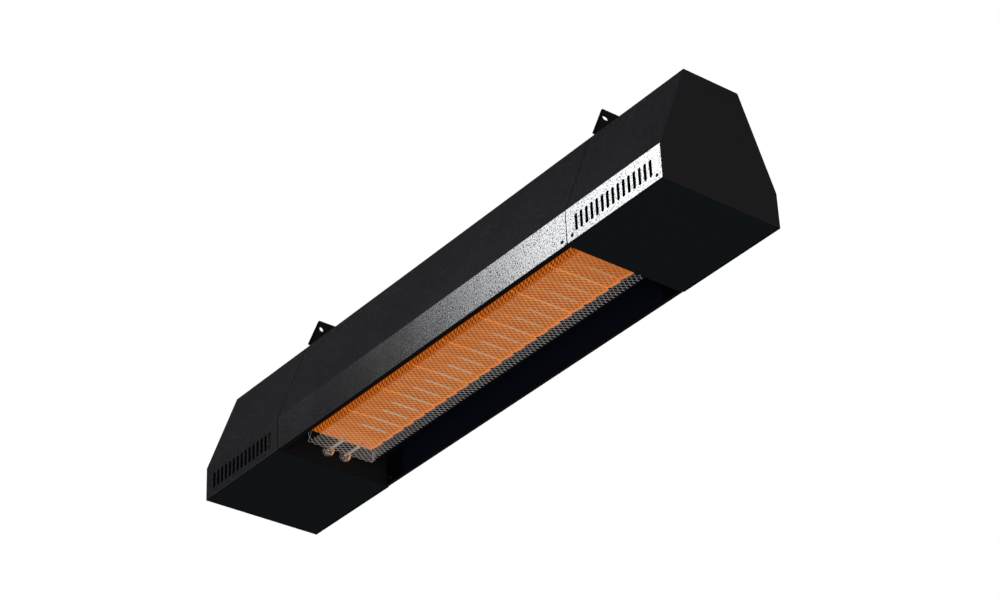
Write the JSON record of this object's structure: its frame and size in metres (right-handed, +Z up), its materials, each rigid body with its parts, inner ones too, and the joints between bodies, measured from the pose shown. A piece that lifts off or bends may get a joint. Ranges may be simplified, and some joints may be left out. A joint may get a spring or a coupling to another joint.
{
  "type": "gas infrared heater",
  "caption": "Ceiling-hung gas infrared heater: long black trapezoid hood over a glowing ceramic burner behind expanded metal, with vented end compartments and hanger tabs.",
  "frame": {"origin": "middle of the hood's bottom edge plane", "axes": "+X along the hood towards the gas end, -Y the front, +Z up towards the hangers"},
  "size_m": [1.25, 0.246, 0.2985],
  "materials": {
    "hood_paint": "black powder coat with a fine hammered grain",
    "black_screw": "black oxide steel screw",
    "zinc_steel": "zinc-plated steel sheet",
    "glowing_ceramic": "perforated cordierite ceramic, glowing orange",
    "fibre": "white ceramic and mineral fibre",
    "aluminised_sheet": "aluminised steel, heat-stained",
    "guard_wire": "stainless expanded metal",
    "brass": "machined brass",
    "gas_pipe": "drawn steel pipe",
    "cast_aluminium": "die-cast aluminium",
    "coil_moulding": "moulded black coil",
    "machined_steel": "turned steel",
    "control_housing": "light grey moulded plastic",
    "terminal_plastic": "cream moulded plastic",
    "gland_plastic": "black nylon",
    "glazed_ceramic": "glazed white ceramic",
    "electrode_wire": "heat-resisting wire",
    "lead_rubber": "silicone rubber"
  },
  "bodies": {
    "casing": {"middle_hood": "hood_paint", "left_end_hood": "hood_paint", "right_end_hood": "hood_paint", "left_end_cap": "hood_paint", "right_end_cap": "hood_paint", "left_bulkhead": "hood_paint", "right_bulkhead": "hood_paint", "hood_screws": "black_screw", "pan_screws": "black_screw", "casing_nuts": "zinc_steel", "valve_shelf": "zinc_steel", "control_shelf": "zinc_steel", "injector_bracket": "zinc_steel", "electrode_bracket": "zinc_steel", "ceramic_plaque_1": "glowing_ceramic", "ceramic_plaque_2": "glowing_ceramic", "ceramic_plaque_3": "glowing_ceramic", "ceramic_plaque_4": "glowing_ceramic", "ceramic_plaque_5": "glowing_ceramic", "ceramic_plaque_6": "glowing_ceramic", "ceramic_plaque_7": "glowing_ceramic", "ceramic_plaque_8": "glowing_ceramic", "plaque_gasket": "fibre", "insulation_blanket": "fibre", "burner_tray": "aluminised_sheet", "plenum_cover": "aluminised_sheet", "left_burner_bracket": "aluminised_sheet", "right_burner_bracket": "aluminised_sheet", "venturi_tube": "aluminised_sheet", "heat_shield": "aluminised_sheet", "guard_mesh": "guard_wire", "injector": "brass", "gas_inlet_fitting": "brass", "inlet_locknut": "brass", "gas_feed_pipe": "gas_pipe", "inlet_pipe": "gas_pipe", "valve_body": "cast_aluminium", "solenoid_coil_1": "coil_moulding", "guide_tube_1": "machined_steel", "plunger_spring_1": "machined_steel", "solenoid_coil_2": "coil_moulding", "guide_tube_2": "machined_steel", "plunger_spring_2": "machined_steel", "control_box": "control_housing", "control_box_cover": "control_housing", "terminal_block": "terminal_plastic", "cable_gland": "gland_plastic", "gland_locknut": "gland_plastic", "spark_insulator": "glazed_ceramic", "spark_electrode": "electrode_wire", "spark_lead": "lead_rubber", "sensor_insulator": "glazed_ceramic", "sensor_electrode": "electrode_wire", "sensor_lead": "lead_rubber", "valve_cable": "lead_rubber"},
    "left_cover": {"left_bottom_pan": "hood_paint"},
    "right_cover": {"right_bottom_pan": "hood_paint"},
    "first_plunger": {"plunger_1": "machined_steel"},
    "second_plunger": {"plunger_2": "machined_steel"}
  },
  "joints": [
    {"name": "left_cover_drop", "type": "slide", "parent": "casing", "child": "left_cover", "axis": [0, 0, -1], "range_m": [0, 0.03]},
    {"name": "right_cover_drop", "type": "slide", "parent": "casing", "child": "right_cover", "axis": [0, 0, -1], "range_m": [0, 0.03]},
    {"name": "first_plunger_lift", "type": "slide", "parent": "casing", "child": "first_plunger", "axis": [1, 0, 0], "range_m": [0, 0.0025], "stiffness_N_per_m": 400, "springref_m": -0.008, "deforming": ["plunger_spring_1"]},
    {"name": "second_plunger_lift", "type": "slide", "parent": "casing", "child": "second_plunger", "axis": [1, 0, 0], "range_m": [0, 0.0025], "stiffness_N_per_m": 400, "springref_m": -0.008, "deforming": ["plunger_spring_2"]}
  ]
}
